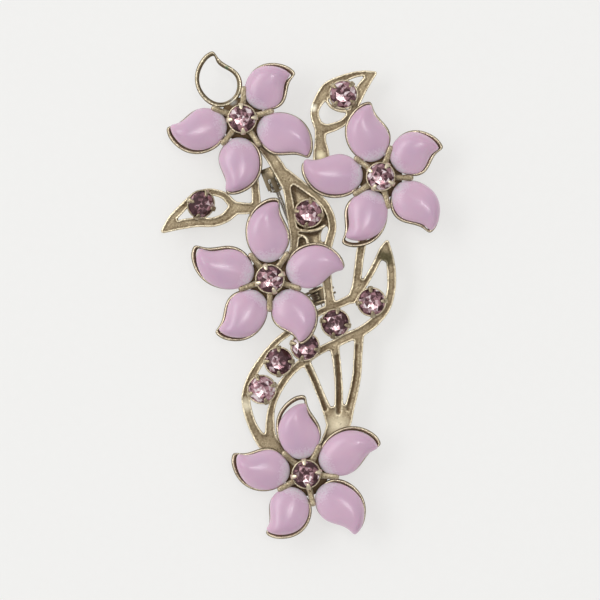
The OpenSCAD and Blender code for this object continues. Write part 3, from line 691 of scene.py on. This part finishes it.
def worn_brass(name, base, grain_mm):
    """Lacquer-free brass: satin from handling, with fine scratches and a warm tarnish."""
    made = bpy.data.materials.new(name)
    made.use_nodes = True
    tree = made.node_tree
    shader = tree.nodes["Principled BSDF"]
    place = add(tree, "ShaderNodeTexCoord").outputs["Object"]
    tarnish = add(tree, "ShaderNodeTexNoise",
                  {"Vector": place, "Scale": per_mm(1.6), "Detail": 4}).outputs["Fac"]
    grain = add(tree, "ShaderNodeTexNoise",
                {"Vector": place, "Scale": per_mm(grain_mm), "Detail": 3}).outputs["Fac"]
    wear_and_shade = add(tree, "ShaderNodeAttribute", attribute_name="wear_and_shade").outputs["Fac"]
    rub = add(tree, "ShaderNodeMath", {0: tarnish, 1: 0.5, 2: wear_and_shade}, operation="MULTIPLY_ADD")
    mix = add(tree, "ShaderNodeMapRange", {"Value": rub.outputs[0], "From Min": 0.5, "From Max": 1.0})
    colour = add(tree, "ShaderNodeMix", {0: mix.outputs[0], 6: srgb("#3f3427"), 7: srgb(base)},
                 data_type="RGBA")
    tree.links.new(colour.outputs[2], shader.inputs["Base Color"])
    rough = add(tree, "ShaderNodeMapRange", {"Value": rub.outputs[0], "From Min": 0.4, "From Max": 1.1,
                                             "To Min": 0.5, "To Max": 0.25})
    tree.links.new(rough.outputs[0], shader.inputs["Roughness"])
    shader.inputs["Metallic"].default_value = 1.0
    bump = add(tree, "ShaderNodeBump", {"Height": grain, "Distance": 0.02 * MM, "Strength": 0.4})
    tree.links.new(bump.outputs[0], shader.inputs["Normal"])
    return made


rivet_brass = worn_brass("tubular_rivet_brass", "#b08d57", 0.3)
for f in range(flower_count):
    low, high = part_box(f"flower_{f + 1}_rivet")
    x0, y0 = (low + high).x / 2 / MM, (low + high).y / 2 / MM
    bottom, top_z = low.z / MM, high.z / MM
    x, y, z, faces = lathe([
        (0.28, bottom + 0.3), (0.3, bottom + 0.05), (0.42, bottom), (0.8, bottom), (0.98, bottom + 0.08),
        (0.98, bottom + 0.2), (0.85, bottom + 0.25), (0.6, bottom + 0.25), (0.6, top_z - 0.25),
        (0.85, top_z - 0.25), (0.98, top_z - 0.2), (0.98, top_z - 0.08), (0.8, top_z), (0.42, top_z),
        (0.3, top_z - 0.05), (0.28, top_z - 0.3)], around=40)
    points = np.stack([x + x0, y + y0, z], -1).reshape(-1, 3).tolist()
    rivet = make_piece(f"flower_{f + 1}_tube_rivet", [(points, faces)], rivet_brass)
    mark_wear(rivet.data, reach=0, gain=1.0)
    install(rivet, "brooch", "finding_metal", f"flower_{f + 1}_rivet")


# ---------------------------------------------------------------- Stones
# Round machine-cut glass chatons, pale amethyst rose, with a foiled back. The foil throws the light back
# through the facets, so each facet is either bright or nearly black; that reflection is painted into each
# facet's colour.

def foiled_glass():
    """Foil-backed cut glass: each facet is painted with its own reflection of the foil, from nearly black to
    near white, under a hard gloss.
    """
    made = bpy.data.materials.new("foiled_amethyst_rose_glass")
    made.use_nodes = True
    tree = made.node_tree
    shader = tree.nodes["Principled BSDF"]
    place = add(tree, "ShaderNodeTexCoord").outputs["Object"]
    painted_reflection = add(tree, "ShaderNodeAttribute", attribute_name="painted_reflection").outputs["Fac"]
    shards = add(tree, "ShaderNodeTexVoronoi", {"Vector": place, "Scale": per_mm(0.55)}, feature="F1")
    shift = add(tree, "ShaderNodeSeparateColor", {"Color": shards.outputs["Color"]})
    mixed = add(tree, "ShaderNodeMath", {0: shift.outputs[0], 1: 0.6, 2: painted_reflection}, operation="MULTIPLY_ADD")
    low = add(tree, "ShaderNodeMapRange", {"Value": mixed.outputs[0], "From Min": 0.5, "From Max": 0.95})
    high = add(tree, "ShaderNodeMapRange", {"Value": mixed.outputs[0], "From Min": 1.05, "From Max": 1.4})
    # Painted reflection of the foil: nearly black, rose, and near-white glints
    colour = add(tree, "ShaderNodeMix", {0: low.outputs[0], 6: srgb("#48262a"), 7: srgb("#b08188")},
                 data_type="RGBA")
    colour = add(tree, "ShaderNodeMix", {0: high.outputs[0], 6: colour.outputs[2], 7: srgb("#fdeeee")},
                 data_type="RGBA")
    tree.links.new(colour.outputs[2], shader.inputs["Base Color"])
    shader.inputs["Metallic"].default_value = 0.35
    shader.inputs["Roughness"].default_value = 0.15
    shader.inputs["IOR"].default_value = 1.52
    shader.inputs["Coat Weight"].default_value = 0.35
    shader.inputs["Coat Roughness"].default_value = 0.03
    return made


rose_glass = foiled_glass()
facet_turns = 8
# The levels of painted reflection a facet can have, from black to bright
reflection_levels = [0.0, 0.08, 0.3, 0.45, 0.6, 0.95]


def cut_stone(seed, light):
    """A chaton's points and faces, with the painted reflection of each face. Its girdle's foot is at height
    0.
    """
    def ring(r, z, count, offset):
        angles = [math.tau * (i + offset) / count for i in range(count)]
        return [(r * math.cos(a), r * math.sin(a), z) for a in angles]

    n = facet_turns
    top_z = girdle_h + crown_h
    middle_r = 1.95
    middle_z = top_z - (middle_r * math.cos(math.pi / n) - table_r) * crown_h / (stone_r - table_r)
    points = [(0, 0, top_z - 0.1)]
    starts = []
    for r, z, count, offset in [(0.62, top_z - 0.05, n, 0.5), (table_r, top_z, n, 0),
                                (middle_r, middle_z, n, 0.5), (stone_r, girdle_h, 2 * n, 0),
                                (stone_r, 0.02, 2 * n, 0), (0.9, -0.62, n, 0)]:
        starts.append(len(points))
        points += ring(r, z, count, offset)
    heart, table, middle, upper, lower, back = starts
    culet = len(points)
    points.append((0, 0, -0.98))
    faces = []
    for i in range(n):
        j = (i + 1) % n
        g, h, e = 2 * i, 2 * i + 1, 2 * j
        faces += [(0, heart + i, heart + j), (heart + i, table + j, heart + j),
                  (heart + i, table + i, table + j),
                  (table + i, middle + i, table + j), (table + j, middle + i, upper + e, middle + j),
                  (middle + i, upper + g, upper + h), (middle + i, upper + h, upper + e),
                  (upper + g, lower + g, lower + h, upper + h), (upper + h, lower + h, lower + e, upper + e),
                  (lower + g, back + i, lower + h), (lower + h, back + i, back + j),
                  (lower + h, back + j, lower + e), (back + i, culet, back + j)]
    chance = random.Random(seed)
    painted_reflections = [min(1, max(0, chance.choice(reflection_levels) + light)) for _ in faces]
    return points, faces, painted_reflections


def set_stone(name, matrix, seed, light, node):
    points, faces, painted_reflections = cut_stone(seed, light)
    turn = Matrix.Rotation(math.radians(seed * 17), 4, "Z")
    matrix = matrix @ turn @ Matrix.Rotation(math.radians(2), 4, "X")
    mesh = bpy.data.meshes.new(name)
    mesh.from_pydata([tuple(matrix @ Vector(p) * MM) for p in points], [], faces)
    mesh.attributes.new("painted_reflection", "FLOAT", "FACE").data.foreach_set("value", painted_reflections)
    stone = finish_mesh(name, mesh, rose_glass, smooth=False)
    install(stone, "brooch", "foiled_crystal", node)


# How bright each stone's painted facet reflections are, from the state of its foil
leaf_light = {"leaf_a": 0.18, "leaf_b": -0.15, "leaf_c": 0.18, "s_leaf_1": 0.4, "s_leaf_2": -0.2,
              "s_leaf_3": 0, "s_leaf_4": -0.25, "s_leaf_5": 0.1}
flower_light = [0.1, 0.12, 0.05, -0.08]
for i, (seat, light) in enumerate(leaf_light.items()):
    set_stone(f"{seat}_chaton", seat_matrix(seat) @ Matrix.Translation((0, 0, cup_h)), 20 + i, light,
              leaf_nodes(seat)[1])
for f in range(flower_count):
    foot = Vector(flower_place(f, np.zeros(1), np.zeros(1), np.full(1, star_foot + star_lip_h))[0])
    set_stone(f"flower_{f + 1}_chaton", Matrix.Translation(foot) @ Matrix.Rotation(0.3 * f, 4, "Z"), 40 + f,
              flower_light[f], f"flower_{f + 1}_stone")


# ---------------------------------------------------------------- Pin back
# A plated brass finding, stamped and soldered behind the frame: a hinge with two folded ears,
# its rivet, a steel pin, and an open catch with a slotted roller and two thumb tabs.

finding = worn_brass("plated_brass_finding", "#8f8168", 0.25)
rotor_brass = worn_brass("plated_brass_roller", "#9d9078", 0.22)


def drawn_steel():
    """Nickel-plated drawn wire: bright, with fine lines along its length."""
    made = bpy.data.materials.new("plated_drawn_steel_wire")
    made.use_nodes = True
    tree = made.node_tree
    shader = tree.nodes["Principled BSDF"]
    place = add(tree, "ShaderNodeTexCoord").outputs["Object"]
    lines = add(tree, "ShaderNodeTexNoise",
                {"Vector": place, "Scale": per_mm(0.2), "Detail": 2}).outputs["Fac"]
    colour = add(tree, "ShaderNodeMix", {0: lines, 6: srgb("#8e8b84"), 7: srgb("#c9c6bd")}, data_type="RGBA")
    tree.links.new(colour.outputs[2], shader.inputs["Base Color"])
    rough = add(tree, "ShaderNodeMapRange", {"Value": lines, "To Min": 0.18, "To Max": 0.38})
    tree.links.new(rough.outputs[0], shader.inputs["Roughness"])
    shader.inputs["Metallic"].default_value = 1.0
    return made


steel = drawn_steel()
pin_back = [("joint_base", "hinge_plate", "brooch", finding, "finding_metal"),
            ("joint_rivet", "hinge_rivet", "brooch", finding, "finding_metal"),
            ("pin_stem", "pin_wire", "pin", steel, "pin_steel"),
            ("catch_housing", "catch_shell", "brooch", finding, "finding_metal"),
            ("catch_rotor", "catch_roller", "rotor", rotor_brass, "finding_metal")]
edge_round = 0.06
for node, name, body, finish, finish_slot in pin_back:
    piece = finish_mesh(name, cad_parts[node].data.copy(), finish)
    tidy = piece.modifiers.new("one face a side", "DECIMATE")
    tidy.decimate_type = "DISSOLVE"
    tidy.angle_limit = math.radians(1)
    soft = piece.modifiers.new("stamped edges", "BEVEL")
    soft.width = edge_round * MM
    soft.segments = 3
    soft.limit_method = "ANGLE"
    soft.angle_limit = math.radians(40)
    soft.use_clamp_overlap = True
    settle(piece)
    piece.data.materials.clear()
    piece.data.materials.append(finish)
    mark_wear(piece.data, reach=0, gain=0.6)
    install(piece, body, finish_slot, node)


# ---------------------------------------------------------------- Studio
# A pale seamless sheet on a faintly lit table under the brooch, a large soft light high on the
# upper left, a small one beside the camera and a wide even fill. The camera looks straight down.

def paper():
    made = bpy.data.materials.new("pale_seamless_paper")
    made.use_nodes = True
    tree = made.node_tree
    shader = tree.nodes["Principled BSDF"]
    place = add(tree, "ShaderNodeTexCoord").outputs["Object"]
    fibre = add(tree, "ShaderNodeTexNoise",
                {"Vector": place, "Scale": per_mm(1.5), "Detail": 4}).outputs["Fac"]
    colour = add(tree, "ShaderNodeMix", {0: fibre, 6: srgb("#959594"), 7: srgb("#999998")}, data_type="RGBA")
    tree.links.new(colour.outputs[2], shader.inputs["Base Color"])
    shader.inputs["Roughness"].default_value = 0.9
    shader.inputs["Emission Color"].default_value = srgb("#fffefb")
    shader.inputs["Emission Strength"].default_value = 0.6
    return made


floor_mesh = bpy.data.meshes.new("paper sheet")
half = 1.2
corners = [(-half, -half, 0), (half, -half, 0), (half, half, 0), (-half, half, 0)]
floor_mesh.from_pydata(corners, [], [(0, 1, 2, 3)])
floor_mesh.materials.append(paper())
floor = bpy.data.objects.new("paper_sheet", floor_mesh)
bpy.context.scene.collection.objects.link(floor)
floor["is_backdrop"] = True

middle = (cad_low + cad_high) / 2


def soft_light(name, place, length, width, power):
    light = bpy.data.lights.new(name, "AREA")
    light.shape = "RECTANGLE"
    light.size, light.size_y = length, width
    light.energy = power
    lamp = bpy.data.objects.new(name, light)
    lamp.location = place
    lamp.rotation_euler = (middle - Vector(place)).to_track_quat("-Z", "Y").to_euler()
    bpy.context.scene.collection.objects.link(lamp)


soft_light("left softbox", (-0.72, 0.28, 1.1), 0.9, 0.45, 4.2)
soft_light("overhead softbox", (0.1, 0.14, 1.24), 0.22, 0.12, 1.5)
soft_light("right fill", (0.9, -0.4, 0.9), 1.0, 0.8, 0.8)
world = bpy.data.worlds.new("white room")
world.use_nodes = True
sky = world.node_tree
way = add(sky, "ShaderNodeTexCoord").outputs["Generated"]
way = add(sky, "ShaderNodeVectorMath", {0: way, 1: (-0.5, 0.45, 0.75)},
          operation="DOT_PRODUCT").outputs["Value"]
glow = add(sky, "ShaderNodeMapRange",
           {"Value": way, "From Min": -0.3, "From Max": 1, "To Min": 0.3, "To Max": 0.85})
backdrop = sky.nodes["Background"]
backdrop.inputs["Color"].default_value = srgb("#f4f5f8")
sky.links.new(glow.outputs[0], backdrop.inputs["Strength"])
bpy.context.scene.world = world

camera = bpy.data.cameras.new("camera")
camera_height = 0.8
field_w = 0.1068
camera.sensor_width = 36
camera.lens = camera.sensor_width * camera_height / field_w
eye = bpy.data.objects.new("camera", camera)
eye.location = (-0.0004, -0.0008, camera_height)
bpy.context.scene.collection.objects.link(eye)
bpy.context.scene.camera = eye
bpy.context.scene.view_settings.view_transform = "Standard"

low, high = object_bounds()
